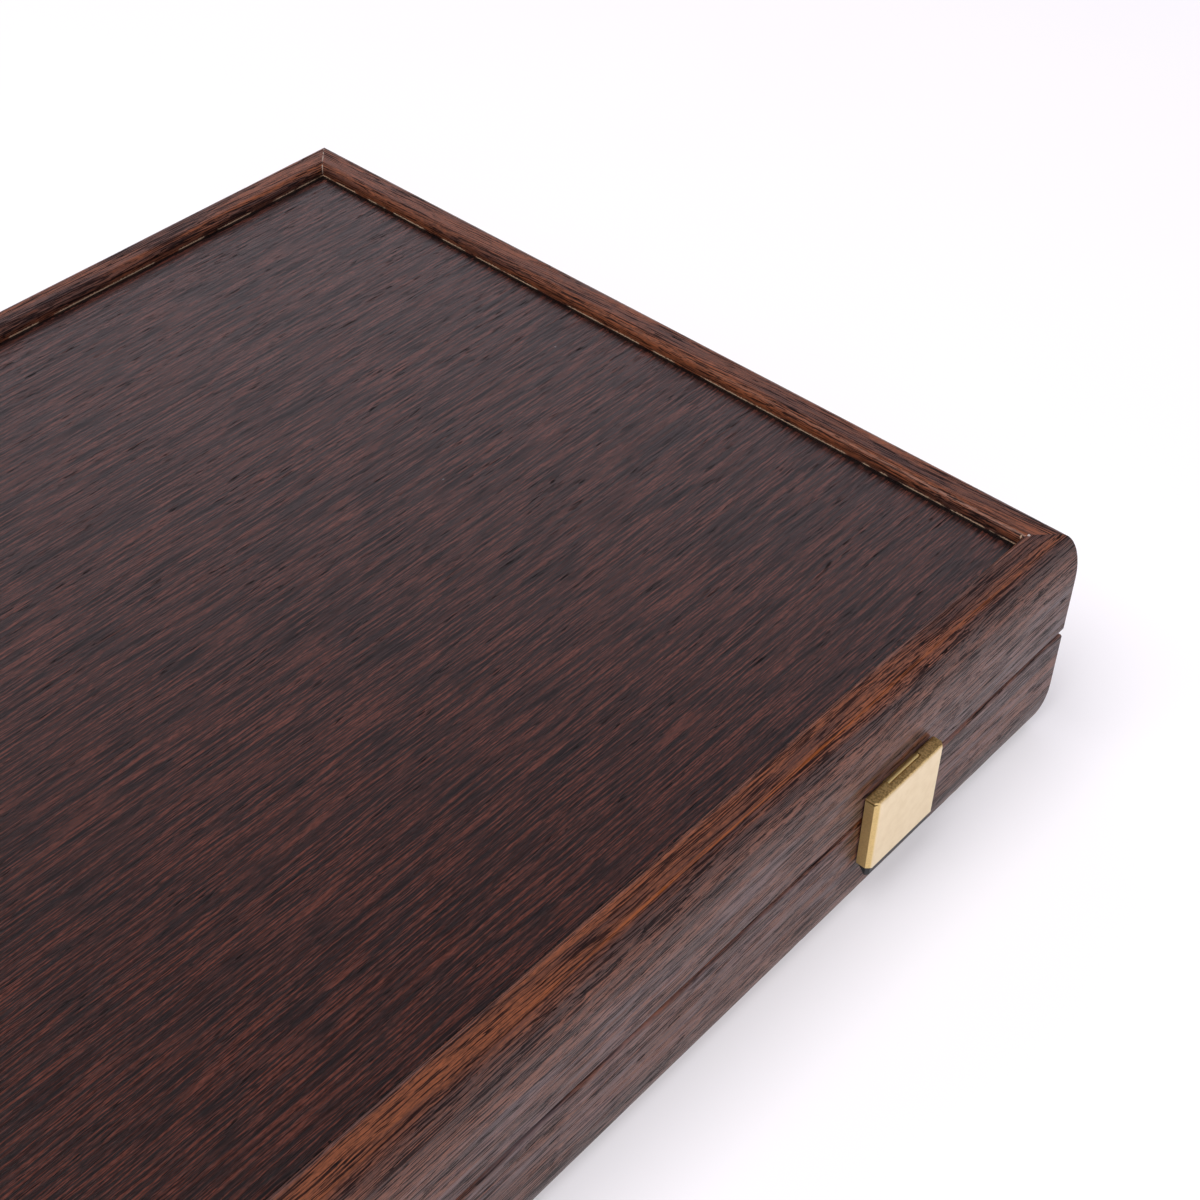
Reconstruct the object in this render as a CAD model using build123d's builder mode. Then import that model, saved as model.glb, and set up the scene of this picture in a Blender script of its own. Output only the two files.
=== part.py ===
from build123d import *
import os

# Folding wooden backgammon case, closed, standing on its lower half.
# All sizes are millimetres. +X runs along the long side to the right, -Y is the front with
# the two clasps, +Y the hinged back, and Z = 0 is the surface that the case stands on.

# Case: the two halves meet at the parting plane
LENGTH = 480.0
DEPTH = 260.0
HALF_HEIGHT = 31.5
PARTING = HALF_HEIGHT

# Rails: the moulded frame round each half, mitred at the corners
RAIL_WIDTH = 10.6
CROWN_IN = 4.0
CROWN_DOWN = 14.0
INNER_ROUND = 1.9
PARTING_ROUND = 1.6
INNER_PARTING_ROUND = 0.8

# Panel board, let into a groove in the rails below their crown
RECESS = 3.4
PANEL_THICKNESS = 4.5
GROOVE_DEPTH = 3.0

# Playing field: a veneer sheet with inlaid points
FIELD_THICKNESS = 1.2
POINTS_PER_END = 6
POINT_LENGTH = 172.0
POINT_GAP = 2.6

# Butt hinges at the back
HINGE_INSET = 90.0
HINGE_LENGTH = 42.0
HINGE_KNUCKLES = 5
HINGE_BARREL_RADIUS = 2.3
HINGE_AXIS_OUT = 0.3
HINGE_LEAF_THICKNESS = 1.0
HINGE_LEAF_IN = 7.0
HINGE_PIN_RADIUS = 1.0
HINGE_SCREW_X = 13.0
HINGE_SCREW_IN = 4.6

# Countersunk screws of the hinges
SCREW_HEAD_RADIUS = 2.0
SCREW_HEAD_HEIGHT = 0.8
SCREW_SHANK_RADIUS = 0.9
SCREW_LENGTH = 11.0
SCREW_SLOT = 0.5

# Clasps at the front: a folded sheet cover over a moulded catch
CLASP_INSET = 68.2
COVER_WIDTH = 24.6
COVER_HEIGHT = 22.0
COVER_ABOVE_PARTING = 8.3
COVER_PROUD = 3.85
COVER_SHEET = 0.6
COVER_FOLD = 1.1
COVER_FOLD_INSIDE = 0.75
COVER_BEVEL = 0.5
CLASP_AXIS_OUT = 0.95
CLASP_KNUCKLE_RADIUS = 0.8
CLASP_PIN_RADIUS = 0.35
CLASP_NOTCH = 11.8
CLASP_TUBE_INSET = 1.3
CORNER_SLOT = 0.55
CLASP_LEAF_THICKNESS = 0.8
CLASP_LEAF_ABOVE_PARTING = 1.9
CLASP_SCREW_X = 3.6
CLASP_SCREW_UP = 3.6

# Moulded insert behind the cover, with the finger lip below it
INSERT_BELOW_PARTING = 0.5
INSERT_LIP = 3.1
INSERT_LIP_FLAT = 0.85
INSERT_LIP_EDGE = 0.3
INSERT_REAR_DROP = 0.6

# Keeper plate on the lower half, with the nose that the insert snaps over
KEEPER_WIDTH = 15.0
KEEPER_BELOW_PARTING = 3.0
KEEPER_HEIGHT = 9.0
KEEPER_THICKNESS = 0.8
NOSE_RADIUS = 1.1
NOSE_WIDTH = 11.0
NOSE_UP = 2.4
KEEPER_SCREW_X = 5.4
KEEPER_SCREW_UP = 6.6

# Pan head screws of the clasps and keepers
PAN_RADIUS = 1.3
PAN_HEIGHT = 0.55
PAN_SHANK_RADIUS = 0.7
PAN_LENGTH = 6.0

# Checkers, in rows of three on five points at each end
CHECKER_RADIUS = 18.0
CHECKER_THICKNESS = 9.0
CHECKER_EDGE = 1.4
CHECKER_DISH_RADIUS = 11.5
CHECKER_DISH_DEPTH = 1.1
CHECKER_RING_RADIUS = 14.6
CHECKER_RING_WIDTH = 1.0
CHECKER_RING_DEPTH = 0.5
CHECKER_SPACE = 0.6
CHECKERS_PER_ROW = 3
CHECKER_ROWS = 5

# Dice
DIE_SIZE = 12.0
DIE_EDGE = 1.5
PIP_RADIUS = 0.9
PIP_DEPTH = 0.4
PIP_SPACING = 3.1
DICE_CENTRES = ((-15.0, -22.0, 20.0), (14.0, 9.0, -35.0))

# Clearances
HINGE_FACE_GAP = 0.15
KNUCKLE_GAP = 0.3
NOTCH_GAP = 0.15
BARREL_GAP = 0.35
MORTISE_GAP = 0.2
PIN_GAP = 0.05
WALL_GAP = 0.3
INSERT_WALL_GAP = 0.5
KEEPER_GAP = 0.6
NOSE_GAP = 0.5

# Worked out: the whole outline, hardware included, is centred on the origin
HINGE_PROUD = HINGE_AXIS_OUT + HINGE_BARREL_RADIUS
FRONT_Y = -DEPTH / 2 + (COVER_PROUD - HINGE_PROUD) / 2
BACK_Y = FRONT_Y + DEPTH
MIDDLE_Y = (FRONT_Y + BACK_Y) / 2
INNER_LENGTH = LENGTH - 2 * RAIL_WIDTH
INNER_DEPTH = DEPTH - 2 * RAIL_WIDTH
PANEL_OUTER = HALF_HEIGHT - RECESS
PANEL_INNER = PANEL_OUTER - PANEL_THICKNESS
FIELD_FACE = PANEL_INNER - FIELD_THICKNESS
POINT_PITCH = INNER_DEPTH / POINTS_PER_END
CLASP_X = LENGTH / 2 - CLASP_INSET
HINGE_X = LENGTH / 2 - HINGE_INSET
HINGE_AXIS = (BACK_Y + HINGE_AXIS_OUT, PARTING)
KNUCKLE_PITCH = HINGE_LENGTH / HINGE_KNUCKLES

HALVES = (("lower", -1), ("upper", 1))
SIDES = (("left", -1), ("right", 1))

os.makedirs("parts", exist_ok=True)


def save(builder, name):
    """Label a finished piece and write its STEP file."""
    builder.part.label = name
    export_step(builder.part, "parts/" + name + ".step")


def level(up, height):
    """The plane at a height from the parting plane, up being +1 or -1 for the half."""
    return Plane.XY.offset(PARTING + up * height)


# Screws

def countersunk(place, mode=Mode.ADD):
    """A wood screw whose head ends flush with the origin of place and that runs down its Z."""
    with Locations(place):
        Cone(
            SCREW_SHANK_RADIUS, SCREW_HEAD_RADIUS, SCREW_HEAD_HEIGHT,
            align=(Align.CENTER, Align.CENTER, Align.MAX), mode=mode,
        )
        Cylinder(
            SCREW_SHANK_RADIUS, SCREW_LENGTH,
            align=(Align.CENTER, Align.CENTER, Align.MAX), mode=mode,
        )


def screw_slot(place, head_radius, depth):
    """The driver slot across a screw head that stands at place."""
    with Locations(place):
        Box(
            2 * head_radius, SCREW_SLOT, depth,
            align=(Align.CENTER, Align.CENTER, Align.MAX), mode=Mode.SUBTRACT,
        )


def pan_shank(place, mode=Mode.ADD):
    """The shank of a small pan head screw, running down the Z of place."""
    with Locations(place):
        Cylinder(
            PAN_SHANK_RADIUS, PAN_LENGTH,
            align=(Align.CENTER, Align.CENTER, Align.MAX), mode=mode,
        )


def pan_screw(place, seat):
    """A pan head screw whose head sits on a plate of thickness seat."""
    pan_shank(place)
    with Locations(place.offset(seat)):
        Cylinder(
            PAN_RADIUS, PAN_HEIGHT,
            align=(Align.CENTER, Align.CENTER, Align.MIN),
        )
    with Locations(place):
        Cylinder(
            PAN_SHANK_RADIUS, seat,
            align=(Align.CENTER, Align.CENTER, Align.MIN),
        )
    screw_slot(place.offset(seat + PAN_HEIGHT), PAN_RADIUS, PAN_HEIGHT / 2)


def hinge_screw_places(sign, up):
    """Where one leaf's screws start: the leaf's free face, near the parting plane."""
    places = []
    for along in (-HINGE_SCREW_X, HINGE_SCREW_X):
        at = (sign * HINGE_X + along, BACK_Y - HINGE_SCREW_IN, PARTING + up * HINGE_FACE_GAP)
        places.append(Plane(origin=at, x_dir=(1, 0, 0), z_dir=(0, 0, -up)))
    return places


def front_places(sign, spread, height):
    """Two places on the front wall at a clasp, facing out, a height from the parting plane."""
    places = []
    for along in (-spread, spread):
        at = (sign * CLASP_X + along, FRONT_Y, PARTING + height)
        places.append(Plane(origin=at, x_dir=(1, 0, 0), z_dir=(0, -1, 0)))
    return places


def leaf_screw_places(sign):
    """The two screws of a clasp's leaf, on the upper half."""
    return front_places(sign, CLASP_SCREW_X, CLASP_SCREW_UP)


def keeper_screw_places(sign):
    """The two screws of a keeper plate, on the lower half."""
    return front_places(sign, KEEPER_SCREW_X, KEEPER_SCREW_UP - KEEPER_BELOW_PARTING - KEEPER_HEIGHT)


# Bars along the long side

def round_bar(centre_x, axis, radius, length, mode=Mode.ADD):
    """A round bar along X, with its middle at centre_x and its axis at (y, z)."""
    with Locations(Plane(origin=(centre_x, axis[0], axis[1]), z_dir=(1, 0, 0))):
        Cylinder(radius, length, mode=mode)


# Rails

def rail_section(plane):
    """Section of a rail: x is the distance in from the outer face, y from the parting plane."""
    with BuildSketch(plane) as section:
        with BuildLine():
            Line((PARTING_ROUND, 0), (RAIL_WIDTH - INNER_PARTING_ROUND, 0))
            CenterArc(
                (RAIL_WIDTH - INNER_PARTING_ROUND, INNER_PARTING_ROUND), INNER_PARTING_ROUND, -90, 90
            )
            Polyline(
                (RAIL_WIDTH, INNER_PARTING_ROUND),
                (RAIL_WIDTH, PANEL_INNER),
                (RAIL_WIDTH - GROOVE_DEPTH, PANEL_INNER),
                (RAIL_WIDTH - GROOVE_DEPTH, PANEL_OUTER),
                (RAIL_WIDTH, PANEL_OUTER),
                (RAIL_WIDTH, HALF_HEIGHT - INNER_ROUND),
            )
            CenterArc((RAIL_WIDTH - INNER_ROUND, HALF_HEIGHT - INNER_ROUND), INNER_ROUND, 0, 90)
            Line((RAIL_WIDTH - INNER_ROUND, HALF_HEIGHT), (CROWN_IN, HALF_HEIGHT))
            EllipticalCenterArc(
                (CROWN_IN, HALF_HEIGHT - CROWN_DOWN), CROWN_IN, CROWN_DOWN,
                start_angle=90, arc_size=90,
            )
            Line((0, HALF_HEIGHT - CROWN_DOWN), (0, PARTING_ROUND))
            CenterArc((PARTING_ROUND, PARTING_ROUND), PARTING_ROUND, 180, 90)
        make_face()
    return section.sketch


def mitred_rail(middle, inward, up, span):
    """Add one rail of a half, centred on middle, with both ends cut at 45 degrees."""
    along = Vector(*inward).cross(Vector(0, 0, up))
    across = Plane(origin=middle, x_dir=inward, z_dir=along)
    extrude(rail_section(across), amount=span / 2, both=True)
    for end in (-1, 1):
        corner = across.origin + along * (end * span / 2)
        mitre = Plane(origin=corner, z_dir=Vector(*inward) + along * end)
        split(bisect_by=mitre, keep=Keep.BOTTOM)


def cut_hinge_seats(up):
    """Mortises, barrel reliefs and screw holes of both hinges in a back rail."""
    for _, sign in SIDES:
        with BuildSketch(level(up, 0)) as mortise:
            with Locations((sign * HINGE_X, BACK_Y)):
                Rectangle(
                    HINGE_LENGTH + 2 * MORTISE_GAP, 2 * (HINGE_LEAF_IN + MORTISE_GAP)
                )
        mortise_depth = HINGE_FACE_GAP + HINGE_LEAF_THICKNESS
        extrude(mortise.sketch, amount=up * mortise_depth, mode=Mode.SUBTRACT)
        round_bar(
            sign * HINGE_X, HINGE_AXIS, HINGE_BARREL_RADIUS + BARREL_GAP,
            HINGE_LENGTH + 2 * MORTISE_GAP, Mode.SUBTRACT,
        )
        for place in hinge_screw_places(sign, up):
            countersunk(place, mode=Mode.SUBTRACT)


for half, up in HALVES:
    clasp_screw_places = leaf_screw_places if up > 0 else keeper_screw_places

    with BuildPart() as front_rail:
        mitred_rail((0, FRONT_Y, PARTING), (0, 1, 0), up, LENGTH)
        for _, sign in SIDES:
            for place in clasp_screw_places(sign):
                pan_shank(place, mode=Mode.SUBTRACT)
    save(front_rail, half + "_front_rail")

    with BuildPart() as back_rail:
        mitred_rail((0, BACK_Y, PARTING), (0, -1, 0), up, LENGTH)
        cut_hinge_seats(up)
    save(back_rail, half + "_back_rail")

    for side, sign in SIDES:
        with BuildPart() as end_rail:
            mitred_rail((sign * LENGTH / 2, MIDDLE_Y, PARTING), (-sign, 0, 0), up, DEPTH)
        save(end_rail, half + "_" + side + "_rail")


# Panels and playing fields

def points_sketch(up, first):
    """Triangles of every second point, starting with the one numbered first."""
    half_base = (POINT_PITCH - POINT_GAP) / 2
    with BuildSketch(level(up, FIELD_FACE)) as triangles:
        for end in (-1, 1):
            start = first if end < 0 else 1 - first
            for number in range(start, POINTS_PER_END, 2):
                centre = MIDDLE_Y - INNER_DEPTH / 2 + (number + 0.5) * POINT_PITCH
                edge = end * INNER_LENGTH / 2
                with BuildLine():
                    Polyline(
                        (edge, centre - half_base),
                        (edge - end * POINT_LENGTH, centre),
                        (edge, centre + half_base),
                        close=True,
                    )
                make_face()
    return triangles.sketch


for half, up in HALVES:
    with BuildPart() as panel:
        with BuildSketch(level(up, PANEL_INNER)):
            with Locations((0, MIDDLE_Y)):
                Rectangle(INNER_LENGTH + 2 * GROOVE_DEPTH, INNER_DEPTH + 2 * GROOVE_DEPTH)
        extrude(amount=up * PANEL_THICKNESS)
    save(panel, half + "_panel")

    with BuildPart() as field:
        with BuildSketch(level(up, FIELD_FACE)):
            with Locations((0, MIDDLE_Y)):
                Rectangle(INNER_LENGTH, INNER_DEPTH)
        extrude(amount=up * FIELD_THICKNESS)
        for first in (0, 1):
            extrude(points_sketch(up, first), amount=up * FIELD_THICKNESS, mode=Mode.SUBTRACT)
    save(field, half + "_field")

    for colour, first in (("dark", 0), ("light", 1)):
        with BuildPart() as points:
            extrude(points_sketch(up, first), amount=up * FIELD_THICKNESS)
        save(points, half + "_" + colour + "_points")


# Butt hinges

def knuckle_centres(owner):
    """X of the knuckles of one leaf, from the hinge's middle: owner 0 has the outer ones."""
    centres = []
    for number in range(owner, HINGE_KNUCKLES, 2):
        centres.append((number + 0.5) * KNUCKLE_PITCH - HINGE_LENGTH / 2)
    return centres


def hinge_leaf(sign, up, owner):
    """Add a leaf lying in its mortise, with its knuckles round the axis."""
    plate_depth = HINGE_LEAF_IN + HINGE_AXIS_OUT
    with BuildSketch(level(up, HINGE_FACE_GAP)) as plate:
        with Locations((sign * HINGE_X, BACK_Y + HINGE_AXIS_OUT - plate_depth / 2)):
            Rectangle(HINGE_LENGTH, plate_depth)
    extrude(plate.sketch, amount=up * HINGE_LEAF_THICKNESS)
    for centre in knuckle_centres(1 - owner):
        round_bar(
            sign * HINGE_X + centre, HINGE_AXIS, HINGE_BARREL_RADIUS + KNUCKLE_GAP,
            KNUCKLE_PITCH + KNUCKLE_GAP, Mode.SUBTRACT,
        )
    for centre in knuckle_centres(owner):
        round_bar(
            sign * HINGE_X + centre, HINGE_AXIS, HINGE_BARREL_RADIUS, KNUCKLE_PITCH - KNUCKLE_GAP
        )
    round_bar(
        sign * HINGE_X, HINGE_AXIS, HINGE_PIN_RADIUS + PIN_GAP, HINGE_LENGTH, Mode.SUBTRACT
    )
    for place in hinge_screw_places(sign, up):
        countersunk(place, mode=Mode.SUBTRACT)


for side, sign in SIDES:
    for half, up in HALVES:
        with BuildPart() as leaf:
            hinge_leaf(sign, up, 0 if up < 0 else 1)
        save(leaf, side + "_hinge_" + half + "_leaf")

        with BuildPart() as screws:
            for place in hinge_screw_places(sign, up):
                countersunk(place)
            for place in hinge_screw_places(sign, up):
                screw_slot(place, SCREW_HEAD_RADIUS, SCREW_HEAD_HEIGHT / 2)
        save(screws, side + "_hinge_" + half + "_screws")

    with BuildPart() as hinge_pin:
        round_bar(sign * HINGE_X, HINGE_AXIS, HINGE_PIN_RADIUS, HINGE_LENGTH - KNUCKLE_GAP)
    save(hinge_pin, side + "_hinge_pin")


# Clasps: sections are drawn with x out from the front wall and y up from the parting plane

COVER_BOTTOM = COVER_ABOVE_PARTING - COVER_HEIGHT
CLASP_AXIS_UP = COVER_ABOVE_PARTING - CLASP_KNUCKLE_RADIUS
CLASP_AXIS = (CLASP_AXIS_OUT, CLASP_AXIS_UP)
SHEET_INSIDE = COVER_PROUD - COVER_SHEET
SHEET_HALF_WIDTH = COVER_WIDTH / 2 - COVER_SHEET
TUBE_END = SHEET_HALF_WIDTH - CLASP_TUBE_INSET


def clasp_section(sign, shift=0.0):
    """The upright plane across a clasp, shift to the right of its middle."""
    at = (sign * CLASP_X + shift, FRONT_Y, PARTING)
    return Plane(origin=at, x_dir=(0, -1, 0), z_dir=(-1, 0, 0))


def block(low, high):
    """A rectangle of a section, from its low corner to its high corner."""
    with Locations(((low[0] + high[0]) / 2, (low[1] + high[1]) / 2)):
        Rectangle(high[0] - low[0], high[1] - low[1])


def clasp_plan(sign, half_width, out, fold):
    """Plan outline of a clasp: from the wall outwards, with its two front corners cut off."""
    origin = (sign * CLASP_X, FRONT_Y, PARTING + COVER_BOTTOM)
    with BuildSketch(Plane(origin=origin, x_dir=(1, 0, 0), z_dir=(0, 0, 1))) as plan:
        with BuildLine():
            Polyline(
                (-half_width, 0),
                (-half_width, fold - out),
                (fold - half_width, -out),
                (half_width - fold, -out),
                (half_width, fold - out),
                (half_width, 0),
                close=True,
            )
        make_face()
    return plan.sketch


def clasp_bar(sign, radius, start, stop):
    """A round bar on the axis of the clasp, between two distances from its middle."""
    with BuildSketch(clasp_section(sign, (start + stop) / 2)) as bar:
        with Locations(CLASP_AXIS):
            Circle(radius)
    extrude(bar.sketch, amount=abs(stop - start) / 2, both=True)


def clasp_cover(sign):
    """The folded sheet: front, side and top flanges, and the lugs rolled round the pin."""
    extrude(clasp_plan(sign, COVER_WIDTH / 2, COVER_PROUD, COVER_FOLD), amount=COVER_HEIGHT)
    with BuildSketch(clasp_section(sign)) as profile:
        with BuildLine():
            Polyline(
                (WALL_GAP, COVER_BOTTOM),
                (COVER_PROUD, COVER_BOTTOM),
                (COVER_PROUD, COVER_ABOVE_PARTING - COVER_BEVEL),
                (COVER_PROUD - COVER_BEVEL, COVER_ABOVE_PARTING),
                (CLASP_AXIS_OUT, COVER_ABOVE_PARTING),
                (CLASP_AXIS_OUT, CLASP_AXIS_UP),
                (WALL_GAP, CLASP_AXIS_UP),
                close=True,
            )
        make_face()
        with Locations(CLASP_AXIS):
            Circle(CLASP_KNUCKLE_RADIUS)
    extrude(profile.sketch, amount=COVER_WIDTH, both=True, mode=Mode.INTERSECT)
    hollow = clasp_plan(sign, SHEET_HALF_WIDTH, SHEET_INSIDE, COVER_FOLD_INSIDE)
    extrude(hollow, amount=COVER_HEIGHT - COVER_SHEET, mode=Mode.SUBTRACT)
    for end in (-1, 1):
        clasp_bar(sign, CLASP_KNUCKLE_RADIUS, end * CLASP_NOTCH / 2, end * TUBE_END)
    with BuildSketch(clasp_section(sign)) as notch:
        low = CLASP_AXIS_UP - CLASP_KNUCKLE_RADIUS - NOTCH_GAP
        high = COVER_ABOVE_PARTING + NOTCH_GAP
        block((0, low), (CLASP_AXIS_OUT + CLASP_KNUCKLE_RADIUS + NOTCH_GAP, high))
    extrude(notch.sketch, amount=CLASP_NOTCH / 2, both=True, mode=Mode.SUBTRACT)
    slot_high = COVER_ABOVE_PARTING - COVER_SHEET
    slot_low = slot_high - CORNER_SLOT
    for end in (-1, 1):
        shift = end * (COVER_WIDTH - COVER_FOLD) / 2
        with BuildSketch(clasp_section(sign, shift)) as corner_slot:
            with BuildLine():
                Polyline(
                    (0, slot_low),
                    (COVER_PROUD - COVER_FOLD, slot_low),
                    (COVER_PROUD - COVER_BEVEL, slot_high),
                    (0, slot_high),
                    close=True,
                )
            make_face()
        extrude(corner_slot.sketch, amount=COVER_FOLD / 2, both=True, mode=Mode.SUBTRACT)
    with BuildSketch(clasp_section(sign)) as pin_bore:
        with Locations(CLASP_AXIS):
            Circle(CLASP_PIN_RADIUS + PIN_GAP)
    extrude(pin_bore.sketch, amount=TUBE_END, both=True, mode=Mode.SUBTRACT)


def clasp_insert(sign):
    """The moulded catch: a block with a lip below and a pocket that clears the keeper."""
    rear = INSERT_WALL_GAP
    lip = COVER_BOTTOM - INSERT_LIP
    with BuildSketch(clasp_section(sign)) as outline:
        with BuildLine():
            Polyline(
                (rear, -INSERT_BELOW_PARTING),
                (SHEET_INSIDE, -INSERT_BELOW_PARTING),
                (SHEET_INSIDE, lip + INSERT_LIP_EDGE),
                (SHEET_INSIDE - INSERT_LIP_EDGE, lip),
                (SHEET_INSIDE - INSERT_LIP_FLAT, lip),
                (rear, COVER_BOTTOM - INSERT_REAR_DROP),
                close=True,
            )
        make_face()
    extrude(outline.sketch, amount=SHEET_HALF_WIDTH, both=True)
    plan = clasp_plan(sign, SHEET_HALF_WIDTH, SHEET_INSIDE, COVER_FOLD_INSIDE)
    extrude(plan, amount=COVER_HEIGHT, both=True, mode=Mode.INTERSECT)
    nose_out = KEEPER_THICKNESS + NOSE_RADIUS + NOSE_GAP
    with BuildSketch(clasp_section(sign)) as pocket:
        block((0, lip), (nose_out, KEEPER_GAP - KEEPER_BELOW_PARTING))
    extrude(pocket.sketch, amount=KEEPER_WIDTH / 2 + KEEPER_GAP, both=True, mode=Mode.SUBTRACT)


def clasp_leaf(sign):
    """The leaf screwed to the upper half, with the middle knuckle."""
    with BuildSketch(clasp_section(sign)) as leaf_outline:
        block((0, CLASP_LEAF_ABOVE_PARTING), (CLASP_LEAF_THICKNESS, CLASP_AXIS_UP))
        with Locations(CLASP_AXIS):
            Circle(CLASP_KNUCKLE_RADIUS)
            Circle(CLASP_PIN_RADIUS + PIN_GAP, mode=Mode.SUBTRACT)
    extrude(leaf_outline.sketch, amount=CLASP_NOTCH / 2 - KNUCKLE_GAP, both=True)
    cut_plate_holes(leaf_screw_places(sign), CLASP_LEAF_THICKNESS)


def cut_plate_holes(places, thickness):
    """Screw holes through a plate that lies on the front wall."""
    for place in places:
        with Locations(place):
            Cylinder(
                PAN_SHANK_RADIUS, thickness,
                align=(Align.CENTER, Align.CENTER, Align.MIN), mode=Mode.SUBTRACT,
            )


def keeper_plate(sign):
    """The plate screwed to the lower half, with its half-round nose."""
    bottom = -KEEPER_BELOW_PARTING - KEEPER_HEIGHT
    with BuildSketch(clasp_section(sign)) as plate:
        block((0, bottom), (KEEPER_THICKNESS, -KEEPER_BELOW_PARTING))
    extrude(plate.sketch, amount=KEEPER_WIDTH / 2, both=True)
    with BuildSketch(clasp_section(sign)) as nose:
        with Locations((KEEPER_THICKNESS, bottom + NOSE_UP)):
            Circle(NOSE_RADIUS)
        block((-NOSE_RADIUS, bottom), (0, bottom + 2 * NOSE_UP))
    extrude(nose.sketch, amount=NOSE_WIDTH / 2, both=True)
    with BuildSketch(clasp_section(sign)) as behind:
        block((-2 * NOSE_RADIUS, bottom), (0, 0))
    extrude(behind.sketch, amount=KEEPER_WIDTH / 2, both=True, mode=Mode.SUBTRACT)
    cut_plate_holes(keeper_screw_places(sign), KEEPER_THICKNESS)


for side, sign in SIDES:
    with BuildPart() as cover:
        clasp_cover(sign)
    save(cover, side + "_clasp_cover")

    with BuildPart() as insert:
        clasp_insert(sign)
    save(insert, side + "_clasp_insert")

    with BuildPart() as clasp_pin:
        with BuildSketch(clasp_section(sign)):
            with Locations(CLASP_AXIS):
                Circle(CLASP_PIN_RADIUS)
        extrude(amount=TUBE_END, both=True)
    save(clasp_pin, side + "_clasp_pin")

    with BuildPart() as leaf:
        clasp_leaf(sign)
    save(leaf, side + "_clasp_leaf")

    with BuildPart() as leaf_screws:
        for place in leaf_screw_places(sign):
            pan_screw(place, CLASP_LEAF_THICKNESS)
    save(leaf_screws, side + "_clasp_screws")

    with BuildPart() as keeper:
        keeper_plate(sign)
    save(keeper, side + "_keeper")

    with BuildPart() as keeper_screws:
        for place in keeper_screw_places(sign):
            pan_screw(place, KEEPER_THICKNESS)
    save(keeper_screws, side + "_keeper_screws")


# Checkers: each row lies on one point of the lower field, from the end rail inwards

FLOOR = PARTING - FIELD_FACE


def checker_section(stand):
    """Half section of a checker: x from its axis, y from its mid height."""
    middle = CHECKER_THICKNESS / 2
    with BuildSketch(stand) as section:
        with BuildLine():
            Polyline(
                (0, -middle + CHECKER_DISH_DEPTH),
                (CHECKER_DISH_RADIUS - CHECKER_DISH_DEPTH, -middle + CHECKER_DISH_DEPTH),
                (CHECKER_DISH_RADIUS, -middle),
                (CHECKER_RADIUS - CHECKER_EDGE, -middle),
            )
            CenterArc((CHECKER_RADIUS - CHECKER_EDGE, CHECKER_EDGE - middle), CHECKER_EDGE, -90, 90)
            Line((CHECKER_RADIUS, CHECKER_EDGE - middle), (CHECKER_RADIUS, middle - CHECKER_EDGE))
            CenterArc((CHECKER_RADIUS - CHECKER_EDGE, middle - CHECKER_EDGE), CHECKER_EDGE, 0, 90)
            Polyline(
                (CHECKER_RADIUS - CHECKER_EDGE, middle),
                (CHECKER_RING_RADIUS + CHECKER_RING_WIDTH / 2, middle),
                (CHECKER_RING_RADIUS, middle - CHECKER_RING_DEPTH),
                (CHECKER_RING_RADIUS - CHECKER_RING_WIDTH / 2, middle),
                (CHECKER_DISH_RADIUS, middle),
                (CHECKER_DISH_RADIUS - CHECKER_DISH_DEPTH, middle - CHECKER_DISH_DEPTH),
                (0, middle - CHECKER_DISH_DEPTH),
                (0, -middle + CHECKER_DISH_DEPTH),
            )
        make_face()
    return section.sketch


for colour, end in (("light", -1), ("dark", 1)):
    for row in range(CHECKER_ROWS):
        row_y = MIDDLE_Y + (row - (CHECKER_ROWS - 1) / 2) * POINT_PITCH
        with BuildPart() as checkers:
            for number in range(CHECKERS_PER_ROW):
                from_rail = CHECKER_SPACE + (number + 0.5) * (2 * CHECKER_RADIUS + CHECKER_SPACE)
                centre_x = end * (INNER_LENGTH / 2 - from_rail)
                stand = Plane(
                    origin=(centre_x, row_y, FLOOR + CHECKER_THICKNESS / 2),
                    x_dir=(1, 0, 0), z_dir=(0, -1, 0),
                )
                revolve(checker_section(stand), axis=Axis((centre_x, row_y, 0), (0, 0, 1)))
        save(checkers, colour + "_checkers_" + str(row + 1))


# Dice: each face has its pips as shallow round pockets

PIP_PATTERNS = {
    1: ((0, 0),),
    2: ((-1, -1), (1, 1)),
    3: ((-1, -1), (0, 0), (1, 1)),
    4: ((-1, -1), (-1, 1), (1, -1), (1, 1)),
    5: ((-1, -1), (-1, 1), (0, 0), (1, -1), (1, 1)),
    6: ((-1, -1), (-1, 0), (-1, 1), (1, -1), (1, 0), (1, 1)),
}
DIE_FACES = {1: (0, 0, 1), 2: (1, 0, 0), 3: (0, 1, 0), 4: (0, -1, 0), 5: (-1, 0, 0), 6: (0, 0, -1)}


def make_die(centre_x, centre_y, turn):
    """A rounded cube on the lower field, turned about Z, with opposite faces adding to seven."""
    home = Location((centre_x, centre_y, FLOOR + DIE_SIZE / 2), (0, 0, turn))
    with Locations(home):
        Box(DIE_SIZE, DIE_SIZE, DIE_SIZE)
    fillet(edges(), DIE_EDGE)
    for value, normal in DIE_FACES.items():
        x_dir = (0, 1, 0) if normal[0] else (1, 0, 0)
        face = Plane(origin=Vector(*normal) * (DIE_SIZE / 2), x_dir=x_dir, z_dir=normal)
        for across, along in PIP_PATTERNS[value]:
            spot = Location((across * PIP_SPACING, along * PIP_SPACING, 0))
            with Locations(home * face.location * spot):
                Cylinder(
                    PIP_RADIUS, PIP_DEPTH,
                    align=(Align.CENTER, Align.CENTER, Align.MAX), mode=Mode.SUBTRACT,
                )


for number, (die_x, die_y, turn) in enumerate(DICE_CENTRES, start=1):
    with BuildPart() as die:
        make_die(die_x, die_y, turn)
    save(die, "die_" + str(number))
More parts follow.
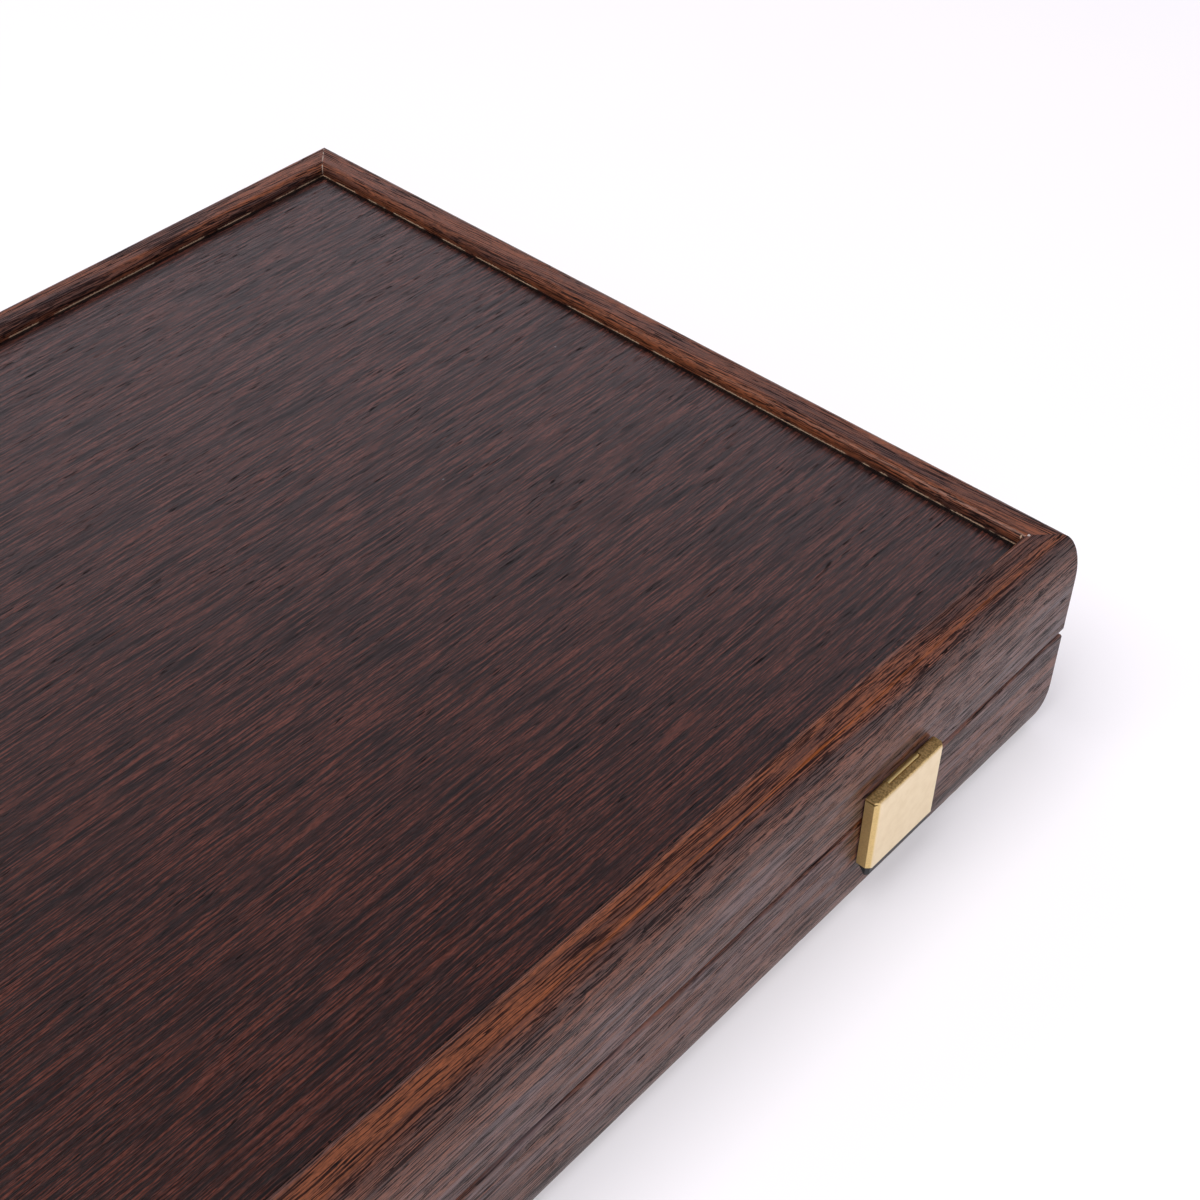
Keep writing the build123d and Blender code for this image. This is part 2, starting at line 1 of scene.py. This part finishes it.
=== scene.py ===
"""The looks of a folding wooden backgammon case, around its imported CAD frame."""
import math

import bpy
from mathutils import Matrix, Vector


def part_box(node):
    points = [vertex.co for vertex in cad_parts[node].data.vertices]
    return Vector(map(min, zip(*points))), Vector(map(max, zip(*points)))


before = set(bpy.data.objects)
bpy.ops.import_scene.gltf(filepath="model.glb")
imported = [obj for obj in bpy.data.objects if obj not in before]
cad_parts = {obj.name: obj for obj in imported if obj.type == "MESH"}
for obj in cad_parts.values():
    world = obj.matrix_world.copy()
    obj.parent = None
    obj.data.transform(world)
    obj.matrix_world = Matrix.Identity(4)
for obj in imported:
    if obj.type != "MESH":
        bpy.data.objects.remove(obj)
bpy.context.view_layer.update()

MM = 0.001
IMAGE_SIZE = 1200


# Sizes of the case in millimetres, read from the frame

def corners(node):
    """A node's lowest and highest corner in millimetres."""
    low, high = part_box(node)
    return low / MM, high / MM


rail_low, rail_high = corners("upper_front_rail")
HALF_LENGTH = rail_high.x
FRONT_Y = rail_low.y
BACK_Y = corners("upper_back_rail")[1].y
RAIL_WIDTH = rail_high.y - rail_low.y
PARTING = rail_low.z
PANEL_OUTER = corners("upper_panel")[1].z - PARTING
CLASP_FACE_Y = corners("left_clasp_cover")[0].y
CLASP_TOP_Z = corners("left_clasp_cover")[1].z
HALF_DIE = (corners("die_1")[1].z - corners("die_1")[0].z) / 2


# Node graphs

class Graph:
    """A material's node tree, with one call for each kind of node that the looks need."""

    def __init__(self, name):
        self.material = bpy.data.materials.new(name)
        self.material.use_nodes = True
        self.tree = self.material.node_tree
        self.shader = self.tree.nodes["Principled BSDF"]

    def link(self, value, socket):
        if isinstance(value, bpy.types.NodeSocket):
            self.tree.links.new(value, socket)
        else:
            socket.default_value = value

    def node(self, kind, values=(), **settings):
        made = self.tree.nodes.new(kind)
        for key, value in settings.items():
            setattr(made, key, value)
        for key, value in dict(values).items():
            self.link(value, made.inputs[key])
        return made

    def math(self, operation, *values):
        return self.node("ShaderNodeMath", dict(enumerate(values)), operation=operation).outputs[0]

    def add(self, *values):
        total = values[0]
        for value in values[1:]:
            total = self.math("ADD", total, value)
        return total

    def times(self, *values):
        total = values[0]
        for value in values[1:]:
            total = self.math("MULTIPLY", total, value)
        return total

    def minus(self, a, b):
        return self.math("SUBTRACT", a, b)

    def least(self, a, b):
        return self.math("MINIMUM", a, b)

    def most(self, a, b):
        return self.math("MAXIMUM", a, b)

    def size(self, value):
        return self.math("ABSOLUTE", value)

    def step(self, value, low, high, out_low=0.0, out_high=1.0):
        made = self.node("ShaderNodeMapRange", {"Value": value, "From Min": low, "From Max": high,
                                                "To Min": out_low, "To Max": out_high})
        made.interpolation_type = "SMOOTHSTEP"
        return made.outputs[0]

    def vector(self, x, y, z):
        return self.node("ShaderNodeCombineXYZ", {0: x, 1: y, 2: z}).outputs[0]

    def noise(self, place, scale=1.0, detail=2.0, roughness=0.5):
        made = self.node("ShaderNodeTexNoise", {"Vector": place, "Scale": scale, "Detail": detail,
                                                "Roughness": roughness})
        return made.outputs[0]

    def swing(self, place, scale, reach):
        """Noise that swings to about reach millimetres either way."""
        return self.times(self.minus(self.noise(place, scale), 0.5), 4 * reach)

    def length(self, x, y):
        """How far a flat offset reaches."""
        away = {0: self.vector(x, y, 0.0)}
        return self.node("ShaderNodeVectorMath", away, operation="LENGTH").outputs["Value"]

    def mix(self, share, a, b, blend="MIX"):
        made = self.node("ShaderNodeMix", data_type="RGBA", blend_type=blend)
        for key, value in ((0, share), (6, a), (7, b)):
            self.link(value, made.inputs[key])
        return made.outputs[2]

    def place(self):
        """The point's x, y and z in millimetres, fixed to the piece."""
        made = self.node("ShaderNodeTexCoord")
        split = self.node("ShaderNodeSeparateXYZ", {0: made.outputs["Object"]})
        return [self.times(split.outputs[k], 1 / MM) for k in range(3)]

    def bump(self, height, distance, strength=1.0):
        made = self.node("ShaderNodeBump", {"Height": height, "Distance": distance * MM,
                                            "Strength": strength})
        self.tree.links.new(made.outputs[0], self.shader.inputs["Normal"])

    def finish(self, **values):
        for key, value in values.items():
            self.link(value, self.shader.inputs[key.replace("_", " ")])
        return self.material


def colour(red, green, blue):
    """A display colour from 0 to 255, as the linear colour that a shader takes."""
    linear = []
    for part in (red, green, blue):
        part = part / 255
        linear.append(part / 12.92 if part <= 0.04045 else ((part + 0.055) / 1.055) ** 2.4)
    return (*linear, 1.0)


# Wood

# A length and a width in millimetres: the broad bands, a pore, the patches of pores and the mottle
BAND = (70.0, 4.0)
PORE = (4.5, 0.34)
PORE_PATCH = (16.0, 2.2)
MOTTLE = (1.5, 0.28)


def wood(name, along, seed, tones, line=(14.0, 0.45), shares=(0.3, 0.8), heart=(-40.0, -70.0),
         lean=(0.012, 0.008), bend=1.0, drift=0.0, rings=3.0, figure=0.2, pores=1.0, mottle=0.35,
         roughness=0.34, relief=0.025, shine=0.45, dull=0.5, details=None):
    """Straight wood with broad soft bands, and fine ragged lines along the grain.

    tones are the ground, the warm bands and lines, the dark lines and the pores. line is the length
    and the width of a line in millimetres, and shares says how strongly the warm bands and the warm
    lines show. heart is where the log's middle passes and lean how much it leans against the piece,
    rings is the width of a ring and figure how much the rings show. bend and drift are how far the
    grain wanders and slants. pores, mottle, relief and shine say how strongly each shows, dull how
    much the dark lines lose of the shine, and details adds marks to the colour.
    """
    g = Graph(name)
    x, y, z = g.place()
    length, width = line
    u, v = (x, y) if along == "x" else (y, x)
    v = g.add(v, g.times(u, drift))
    place = g.vector(g.times(u, 0.4), v, z)
    v = g.add(v, g.swing(place, 0.035, 0.9 * bend), g.swing(place, 0.16, 0.16 * bend),
              g.swing(place, 0.55, 0.07))
    w = g.add(z, g.swing(g.vector(g.times(u, 0.4), v, g.add(z, 40.0)), 0.035, 0.9 * bend))

    def fibre(long, wide, shift, detail=2.0):
        depth = g.add(g.times(w, 1 / wide), seed * 3.7 + shift)
        at = g.vector(g.times(u, 1 / long), g.times(v, 1 / wide), depth)
        return g.noise(at, detail=detail, roughness=0.55)

    over = g.add(v, g.times(u, lean[0]), -heart[0])
    up = g.add(w, g.times(u, lean[1]), -heart[1])
    radius = g.math("SQRT", g.add(g.times(over, over), g.times(up, up)))
    uneven = g.vector(g.times(u, 1 / 70), g.times(v, 1 / 16), g.times(w, 1 / 16))
    radius = g.add(radius, g.swing(uneven, 1.0, 2.4 * bend))
    ring = g.noise(g.vector(g.times(radius, 1 / rings), g.times(u, 1 / 260), seed), detail=2.0)
    ring = g.times(g.minus(ring, 0.5), figure)

    broad = g.step(g.add(fibre(*BAND, 61.0), ring), 0.40, 0.60)
    warm = g.step(g.add(fibre(length, width, 1.0, detail=3.0), ring), 0.47, 0.55)
    dark = g.step(g.minus(fibre(length * 0.7, width * 0.75, 17.0), ring), 0.49, 0.57)
    hair = fibre(length * 0.4, width * 0.5, 29.0, detail=1.0)
    dash = g.step(fibre(*PORE, 41.0, detail=1.0), 0.60, 0.65)
    pore = g.times(dash, g.step(fibre(*PORE_PATCH, 53.0), 0.44, 0.62), pores)

    ground, warm_tone, dark_tone, pore_tone = tones
    tone = g.mix(g.times(broad, shares[0]), ground, warm_tone)
    tone = g.mix(g.times(warm, shares[1]), tone, warm_tone)
    tone = g.mix(g.times(dark, 0.9), tone, dark_tone)
    shade = g.step(fibre(*MOTTLE, 71.0, detail=1.0), 0.28, 0.72, 1.0 - mottle, 1.0 + mottle)
    tone = g.mix(1.0, tone, shade, blend="MULTIPLY")
    tone = g.mix(g.times(pore, 0.9), tone, pore_tone)
    if details:
        tone = details(g, (x, y, z), tone)
    g.bump(g.add(g.times(hair, 0.4), g.times(dark, -0.5), g.times(pore, -1.0)), relief)
    gloss = g.add(roughness, g.times(dark, 0.08), g.times(pore, 0.2), g.times(hair, 0.06))
    open_grain = g.most(g.times(dark, dull), g.times(pore, 0.9))
    shine = g.times(g.minus(1.0, open_grain), shine)
    return g.finish(Base_Color=tone, Roughness=gloss, IOR=1.5, Specular_IOR_Level=shine)


# Marks on the rails and the panels, painted shadow and sheen among them

SEAM_TONE = colour(22, 15, 15)
RUBBED_TONE = colour(176, 158, 146)
# Painted sheen: the grey tone streaked over the rails' upright faces stands in for their reflection of
# the floor
SHEEN_TONE = colour(124, 106, 108)
VEIN_TONE = colour(150, 80, 38)
RAW_TONE = colour(190, 160, 134)
# Painted shadow: near black for the shade where a panel meets its rails
GAP_SHADE_TONE = colour(6, 4, 5)
DUST_TONE = colour(150, 154, 160)

# In millimetres: the orange vein behind the front face, the painted shadow along a panel's edge by the
# rails, dust to dust
VEIN_IN = 4.0
GAP_SHADE_WIDTH = 1.1
DUST_SPACING = 20

# Chips at the near right mitre: x, y and radius in millimetres, and the colour of the bare wood
CHIPS = ((230.6, -120.0, 0.42, colour(190, 182, 180)), (229.8, -118.6, 0.36, colour(176, 150, 126)))


def rail_wear_and_sheen(g, place, tone):
    """The mitres' seams, worn lines and chips, a painted grey sheen on the upright faces that stands in
    for their reflection of the floor, an orange vein along the front, and the pale raw edge where a rail
    meets its panel."""
    x, y, z = place
    ends = g.minus(HALF_LENGTH, g.size(x))
    faces = g.least(g.minus(y, FRONT_Y), g.minus(BACK_Y, y))
    mitre = g.size(g.minus(ends, faces))
    inward = g.least(ends, faces)
    rise = g.minus(g.size(g.minus(z, PARTING)), PANEL_OUTER)
    spot = g.vector(x, y, z)
    worn = g.noise(spot, 0.9, detail=3.0)
    chips = g.noise(spot, 1.6, detail=2.0)

    seam = g.step(mitre, 0.04, 0.14, 1.0, 0.0)
    tone = g.mix(g.times(seam, 0.75), tone, SEAM_TONE)
    rubbed = g.times(g.step(mitre, 0.12, 0.30, 1.0, 0.0), g.step(worn, 0.42, 0.56),
                     g.step(y, -20.0, 100.0))
    tone = g.mix(g.times(rubbed, 0.75), tone, RUBBED_TONE)

    # Painted sheen: grey streaks on the upright faces near the parting, standing in for their reflection
    # of the floor
    streaks = g.noise(g.vector(g.times(x, 1 / 22), g.times(y, 1 / 22), g.times(z, 1 / 1.4)), detail=3.0)
    upright = g.times(g.step(g.size(g.minus(z, PARTING)), 14.0, 22.0, 1.0, 0.0),
                      g.step(inward, 0.4, 1.4, 1.0, 0.0))
    tone = g.mix(g.times(g.step(streaks, 0.46, 0.62), upright, 0.35), tone, SHEEN_TONE)

    edge = g.add(g.minus(y, FRONT_Y), g.swing(g.vector(g.times(x, 0.06), y, z), 0.5, 0.25))
    vein = g.times(g.step(g.size(g.minus(edge, VEIN_IN)), 0.10, 0.55, 1.0, 0.0), g.step(rise, 0.0, 1.0),
                   g.step(x, 40.0, 80.0), g.step(x, 196.0, 222.0, 1.0, 0.0),
                   g.step(g.noise(g.vector(g.times(x, 0.05), g.times(y, 3.0), z)), 0.42, 0.58))
    tone = g.mix(g.times(vein, 0.55), tone, VEIN_TONE)

    wall = g.step(inward, RAIL_WIDTH - 0.16, RAIL_WIDTH - 0.06)
    raw = g.times(wall, g.step(g.add(rise, g.times(chips, -1.0)), -0.24, -0.12, 1.0, 0.0),
                  g.step(rise, -0.2, -0.1), g.step(g.noise(spot, 0.11, detail=3.0), 0.43, 0.49))
    tone = g.mix(g.times(raw, 0.8), tone, RAW_TONE)

    for along, back, radius, bare in CHIPS:
        away = g.add(g.length(g.minus(x, along), g.minus(y, back)), g.swing(spot, 1.3, 0.25))
        chip = g.times(g.step(away, radius - 0.08, radius + 0.04, 1.0, 0.0),
                       g.step(g.minus(z, PARTING), PANEL_OUTER, PANEL_OUTER + 1.0))
        tone = g.mix(g.times(chip, 0.7), tone, bare)
    return tone


def panel_gap_shade_and_dust(g, place, tone):
    """A ragged band of painted shadow along the panel's edge by the rails, and a few pale specks of dust.
    """
    x, y, z = place
    faces = g.least(g.minus(y, FRONT_Y), g.minus(BACK_Y, y))
    inward = g.least(g.minus(HALF_LENGTH, g.size(x)), faces)
    # Painted shadow: a ragged near-black band along the rails stands in for the shade where the panel
    # meets them
    ragged = g.swing(g.vector(g.times(x, 0.9), g.times(y, 0.9), z), 1.0, 0.45)
    gap_shade_end = RAIL_WIDTH + GAP_SHADE_WIDTH
    gap_shade = g.step(g.add(inward, ragged), gap_shade_end, gap_shade_end + 0.2, 1.0, 0.0)
    tone = g.mix(g.times(gap_shade, 0.95), tone, GAP_SHADE_TONE)

    cells = g.node("ShaderNodeTexVoronoi", {"Vector": g.vector(x, y, z), "Scale": 1 / DUST_SPACING,
                                            "Randomness": 1.0})
    chosen = g.node("ShaderNodeSeparateColor", {0: cells.outputs["Color"]}).outputs[0]
    speck = g.times(g.step(cells.outputs["Distance"], 0.008, 0.014, 1.0, 0.0), g.step(chosen, 0.55, 0.60))
    return g.mix(g.times(speck, 0.6), tone, DUST_TONE)


# The woods' colours: ground, warm lines, dark lines and pores

BLACK_PORE = colour(14, 11, 12)
RAIL_TONES = (colour(68, 40, 33), colour(122, 66, 38), colour(22, 14, 16), BLACK_PORE)
PANEL_TONES = (colour(37, 21, 20), colour(84, 45, 37), colour(18, 11, 13), BLACK_PORE)
FIELD_TONES = (colour(118, 76, 50), colour(142, 94, 60), colour(84, 52, 36), colour(50, 32, 24))
DARK_INLAY_TONES = (colour(44, 28, 24), colour(62, 40, 32), colour(26, 18, 17), BLACK_PORE)
LIGHT_INLAY_TONES = (colour(206, 164, 108), colour(222, 184, 130), colour(176, 132, 82),
                     colour(150, 108, 64))
LIGHT_CHECKER_TONES = (colour(218, 180, 126), colour(232, 200, 152), colour(192, 150, 98),
                       colour(160, 118, 74))
DARK_CHECKER_TONES = (colour(60, 39, 30), colour(84, 54, 38), colour(38, 25, 21), BLACK_PORE)

RAILS = (("front", "x"), ("back", "x"), ("left", "y"), ("right", "y"))

finishes = {}
for number, (part, along) in enumerate(RAILS):
    heart_at = FRONT_Y + 30 if part == "front" else 60.0
    drift = 0.015 if along == "x" else 0.04
    for half, extra in (("upper", 0.0), ("lower", 31.0)):
        finishes[f"{half}_{part}_rail"] = wood(
            f"{half}_{part}_rail_wood", along, 3.1 + 5.7 * number + extra, RAIL_TONES,
            line=(24.0, 0.38), shares=(0.65, 0.3), heart=(heart_at, -55.0), lean=(0.02, -0.015),
            drift=drift, shine=0.36, dull=0.8, details=rail_wear_and_sheen)
for half, seed in (("upper", 2.2), ("lower", 47.4)):
    finishes[f"{half}_panel"] = wood(
        f"{half}_panel_veneer", "x", seed, PANEL_TONES, line=(20.0, 0.40), shares=(0.05, 0.85),
        heart=(-900.0, 30.0), lean=(0.0, 0.0), bend=0.35, rings=7.0, figure=0.03, mottle=0.42,
        roughness=0.20, relief=0.015, shine=0.5, dull=0.3, details=panel_gap_shade_and_dust)
    finishes[f"{half}_field"] = wood(
        f"{half}_field_veneer", "y", seed + 3.3, FIELD_TONES, line=(40.0, 1.0),
        heart=(-260.0, 20.0), lean=(0.02, 0.01), bend=1.2, pores=0.6)
    finishes[f"{half}_dark_points"] = wood(
        f"{half}_dark_inlay", "x", seed + 5.1, DARK_INLAY_TONES, heart=(-500.0, 20.0), bend=0.5,
        pores=0.6)
    finishes[f"{half}_light_points"] = wood(
        f"{half}_light_inlay", "x", seed + 6.4, LIGHT_INLAY_TONES, heart=(-400.0, 20.0), bend=0.8,
        pores=0.15, mottle=0.12)
light_turned = wood("light_checker_wood", "y", 8.8, LIGHT_CHECKER_TONES, heart=(-90.0, -30.0),
                    bend=1.4, pores=0.15, mottle=0.12, roughness=0.30)
dark_turned = wood("dark_checker_wood", "y", 12.6, DARK_CHECKER_TONES, heart=(90.0, -30.0),
                   bend=1.2, pores=0.5, roughness=0.30)


# Metal and plastic

FACE_BRASS = colour(238, 219, 182)
# Partly painted shade: the folds behind the clasp cover's face take a yellower brass for their shaded
# sides
SHADED_FOLD_BRASS = colour(226, 198, 138)
ROLLED_BRASS = colour(226, 200, 136)
SCREW_BRASS = colour(214, 186, 128)
CLOUD_BRASS = colour(190, 160, 104)
SPECKLE_BRASS = colour(150, 118, 66)
INSERT_BLACK = colour(20, 20, 23)
CLOUD_BLACK = colour(28, 28, 31)
IVORY = colour(238, 233, 218)
IVORY_CLOUD = colour(228, 220, 200)
PIP_PAINT = colour(22, 20, 20)

# How far each die is turned about its own upright, in degrees
DIE_TURNS = {"die_1": 20.0, "die_2": -35.0}


def brass(name, base, roughness, grit, grain=0.35, folded=None):
    """Satin brass with fine rubbed lines and a slightly uneven sheen.

    folded is the colour of a clasp cover's grained folds, behind its face: a yellower brass, partly
    painted shade for the cover's shaded sides.
    """
    g = Graph(name)
    x, y, z = g.place()
    rubbed = g.noise(g.vector(g.times(x, 0.35), g.times(y, 6.0), g.times(z, 6.0)), detail=3.0)
    cloudy = g.noise(g.vector(x, y, z), scale=0.4, detail=3.0)
    fine = g.noise(g.vector(x, y, z), scale=grit, detail=3.0, roughness=0.6)
    tone = g.mix(g.step(cloudy, 0.35, 0.75, 0.0, 0.14), base, CLOUD_BRASS)
    height = g.add(g.times(rubbed, grain), g.times(fine, 1.0 - grain))
    gloss = g.add(roughness, g.times(cloudy, 0.06), g.times(fine, 0.1))
    if folded:
        fold = g.step(g.minus(y, CLASP_FACE_Y), 0.05, 0.40)
        flange = g.step(z, CLASP_TOP_Z - 0.25, CLASP_TOP_Z - 0.10)
        speckle = g.step(g.noise(g.vector(x, y, z), scale=2.4, detail=2.0), 0.40, 0.64)
        # Partly painted shade: the folds' yellower brass stands in for how the cover's shaded sides look,
        # with darker worn speckles, more on the top flange
        worn = g.mix(g.times(speckle, g.add(g.times(flange, 0.5), 0.15)), folded, SPECKLE_BRASS)
        tone = g.mix(fold, tone, worn)
        gloss = g.add(gloss, g.times(fold, 0.16))
        height = g.add(height, g.times(fold, flange, speckle))
    g.bump(height, 0.012)
    return g.finish(Base_Color=tone, Metallic=1.0, Roughness=gloss)


def plastic(name, base, roughness):
    """Moulded plastic with a faint even texture."""
    g = Graph(name)
    x, y, z = g.place()
    grainy = g.noise(g.vector(x, y, z), scale=3.2, detail=3.0)
    cloudy = g.noise(g.vector(x, y, z), scale=0.4, detail=2.0)
    tone = g.mix(g.step(cloudy, 0.3, 0.7, 0.0, 0.25), base, CLOUD_BLACK)
    g.bump(grainy, 0.015, 0.5)
    return g.finish(Base_Color=tone, Roughness=g.add(roughness, g.times(grainy, 0.1)), IOR=1.46)


hardware = brass("hardware_brass", FACE_BRASS, 0.26, 5.0)
cover = brass("clasp_cover_brass", FACE_BRASS, 0.26, 5.0, folded=SHADED_FOLD_BRASS)
rolled = brass("rolled_knuckle_brass", ROLLED_BRASS, 0.36, 2.2, grain=0.1)
screws = brass("screw_brass", SCREW_BRASS, 0.30, 5.0)
black_plastic = plastic("clasp_insert_black", INSERT_BLACK, 0.42)


def die_plastic(name, centre, turn):
    """Ivory coloured plastic, with dark paint in the sunk pips."""
    g = Graph(name)
    x, y, z = g.place()
    cosine = math.cos(math.radians(turn))
    sine = math.sin(math.radians(turn))
    x = g.minus(x, centre[0])
    y = g.minus(y, centre[1])
    z = g.minus(z, centre[2])
    a = g.size(g.add(g.times(x, cosine), g.times(y, sine)))
    b = g.size(g.add(g.times(x, -sine), g.times(y, cosine)))
    c = g.size(z)
    largest = g.most(g.most(a, b), c)
    least = g.least(g.least(a, b), c)
    middle = g.minus(g.add(a, b, c), g.add(largest, least))
    sunk = g.times(g.step(largest, HALF_DIE - 0.22, HALF_DIE - 0.12, 1.0, 0.0),
                   g.step(middle, HALF_DIE - 1.6, HALF_DIE - 1.5, 1.0, 0.0))
    cloudy = g.noise(g.vector(x, y, z), scale=0.35, detail=3.0)
    tone = g.mix(g.step(cloudy, 0.35, 0.7), IVORY, IVORY_CLOUD)
    tone = g.mix(sunk, tone, PIP_PAINT)
    g.bump(cloudy, 0.01, 0.4)
    return g.finish(Base_Color=tone, Roughness=g.add(0.2, g.times(cloudy, 0.08)), IOR=1.5)


for name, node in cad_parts.items():
    if name in finishes:
        chosen = finishes[name]
    elif name.startswith("light_checkers"):
        chosen = light_turned
    elif name.startswith("dark_checkers"):
        chosen = dark_turned
    elif name.endswith("_insert"):
        chosen = black_plastic
    elif name.endswith("_screws"):
        chosen = screws
    elif name.endswith("_clasp_leaf"):
        chosen = rolled
    elif name.endswith("_clasp_cover"):
        chosen = cover
    elif name.startswith("die_"):
        low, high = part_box(name)
        middle = (low + high) / 2 / MM
        chosen = die_plastic(name + "_plastic", middle, DIE_TURNS[name])
    else:
        chosen = hardware
    node.data.materials.clear()
    node.data.materials.append(chosen)


# Floor

FLOOR_SIZE = 12.0
FLOOR_TONES = (colour(250, 245, 254), colour(252, 248, 255))
GLOW_TINT = (1.0, 0.985, 1.0, 1.0)

# The share of plain white near the case, which grows to 1 between two distances in millimetres
FLOOR_GLOW = 0.40
NEAR_FLOOR = 600.0
FAR_FLOOR = 1700.0


def make_floor():
    """A plain pale floor, white to the camera and to reflections where nothing shades it."""
    bpy.ops.mesh.primitive_plane_add(size=FLOOR_SIZE, location=(0, 0, 0))
    floor = bpy.context.object
    floor.name = "floor"
    g = Graph("floor_paper")
    x, y, z = g.place()
    soft = g.noise(g.vector(x, y, z), 0.01)
    tone = g.mix(soft, *FLOOR_TONES)
    floor.data.materials.append(g.finish(Base_Color=tone, Roughness=0.9))
    g.shader.inputs["Specular IOR Level"].default_value = 0.1
    path = g.node("ShaderNodeLightPath")
    seen = g.most(g.most(path.outputs["Is Camera Ray"], path.outputs["Is Glossy Ray"]),
                  path.outputs["Is Transmission Ray"])
    glow = g.node("ShaderNodeEmission", {"Color": GLOW_TINT, "Strength": 1.0})
    share = g.times(seen, g.step(g.length(x, y), NEAR_FLOOR, FAR_FLOOR, FLOOR_GLOW, 1.0))
    both = g.node("ShaderNodeMixShader", {0: share, 1: g.shader.outputs[0], 2: glow.outputs[0]})
    g.link(both.outputs[0], g.tree.nodes["Material Output"].inputs["Surface"])


make_floor()


# World and lamps

# Height of the direction, from 0 at the horizon to 1 overhead, and the studio's brightness there
STUDIO = ((0.0, 1.0), (0.60, 1.0), (0.67, 0.78), (0.72, 0.34), (0.77, 0.06), (1.0, 0.02))
STUDIO_TINT = (0.985, 0.94, 1.04)

# The way from the case towards the lit backdrop
BACKDROP = (0.95, 0.30, 0.0)

# The room's brightness behind the camera, and where it starts and stops growing to the backdrop's
ROOM_LEVEL = 0.3
ROOM_END = -0.3
BACKDROP_START = 0.35


def make_world():
    """A white cove behind the case, dark overhead and dimmer on the camera's side, and plain white
    where the camera sees it past the floor."""
    world = bpy.data.worlds.new("studio")
    bpy.context.scene.world = world
    world.use_nodes = True
    tree = world.node_tree
    light = tree.nodes["Background"]
    coords = tree.nodes.new("ShaderNodeTexCoord")
    split = tree.nodes.new("ShaderNodeSeparateXYZ")
    tree.links.new(coords.outputs["Generated"], split.inputs[0])
    ramp = tree.nodes.new("ShaderNodeValToRGB")
    tree.links.new(split.outputs[2], ramp.inputs[0])
    stops = ramp.color_ramp.elements
    for position, level in STUDIO:
        stop = stops[0] if position == 0.0 else stops[-1] if position == 1.0 else stops.new(position)
        stop.color = (*(level * part for part in STUDIO_TINT), 1)
    tree.links.new(ramp.outputs[0], light.inputs[0])
    facing = tree.nodes.new("ShaderNodeVectorMath")
    facing.operation = "DOT_PRODUCT"
    facing.inputs[1].default_value = BACKDROP
    tree.links.new(coords.outputs["Generated"], facing.inputs[0])
    dim = tree.nodes.new("ShaderNodeMapRange")
    dim.interpolation_type = "SMOOTHSTEP"
    for socket, value in enumerate((ROOM_END, BACKDROP_START, ROOM_LEVEL, 1.0), start=1):
        dim.inputs[socket].default_value = value
    tree.links.new(facing.outputs["Value"], dim.inputs[0])
    tree.links.new(dim.outputs[0], light.inputs[1])
    path = tree.nodes.new("ShaderNodeLightPath")
    seen = tree.nodes.new("ShaderNodeBackground")
    seen.inputs[0].default_value = (1.0, 1.0, 1.0, 1.0)
    both = tree.nodes.new("ShaderNodeMixShader")
    tree.links.new(path.outputs["Is Camera Ray"], both.inputs[0])
    tree.links.new(light.outputs[0], both.inputs[1])
    tree.links.new(seen.outputs[0], both.inputs[2])
    tree.links.new(both.outputs[0], tree.nodes["World Output"].inputs["Surface"])


def area_lamp(name, place, size, power, tint=(1, 1, 1)):
    """A square lamp, turned towards the case."""
    data = bpy.data.lights.new(name, "AREA")
    data.shape = "RECTANGLE"
    data.size = size
    data.size_y = size
    data.energy = power
    data.color = tint
    lamp = bpy.data.objects.new(name, data)
    bpy.context.scene.collection.objects.link(lamp)
    lamp.location = place
    lamp.rotation_euler = (-Vector(place)).to_track_quat("-Z", "Y").to_euler()


make_world()
area_lamp("key", place=(-0.95, 0.1, 2.4), size=1.6, power=66.0, tint=(1.0, 1.0, 0.98))
area_lamp("fill", place=(-1.2, -1.6, 1.4), size=1.4, power=12.0)


# Camera, fitted to the photograph's own edges

CAMERA_PLACE = Vector((-0.081619, -0.269733, 0.354311))
CAMERA_YAW = 47.370
CAMERA_PITCH = 43.796
CAMERA_ROLL = 0.002
FOCAL_PIXELS = 1928.169
CENTRE_RIGHT = -14.629
CENTRE_DOWN = 17.885
SENSOR = 36.0
CLIP_START = 0.01


def make_camera():
    """The photograph's camera, with its small shift from the cropping."""
    yaw, pitch, roll = (math.radians(a) for a in (CAMERA_YAW, CAMERA_PITCH, CAMERA_ROLL))
    level = math.cos(pitch)
    forward = Vector((math.sin(yaw) * level, math.cos(yaw) * level, -math.sin(pitch)))
    level_right = Vector((math.cos(yaw), -math.sin(yaw), 0))
    level_up = level_right.cross(forward)
    right = level_right * math.cos(roll) + level_up * math.sin(roll)
    up = level_up * math.cos(roll) - level_right * math.sin(roll)
    data = bpy.data.cameras.new("camera")
    data.sensor_width = SENSOR
    data.lens = FOCAL_PIXELS * SENSOR / IMAGE_SIZE
    data.shift_x = -CENTRE_RIGHT / IMAGE_SIZE
    data.shift_y = CENTRE_DOWN / IMAGE_SIZE
    data.clip_start = CLIP_START
    camera = bpy.data.objects.new("camera", data)
    bpy.context.scene.collection.objects.link(camera)
    turn = Matrix((right, up, -forward)).transposed().to_4x4()
    camera.matrix_world = Matrix.Translation(CAMERA_PLACE) @ turn
    bpy.context.scene.camera = camera


make_camera()
bpy.context.scene.view_settings.view_transform = "Standard"
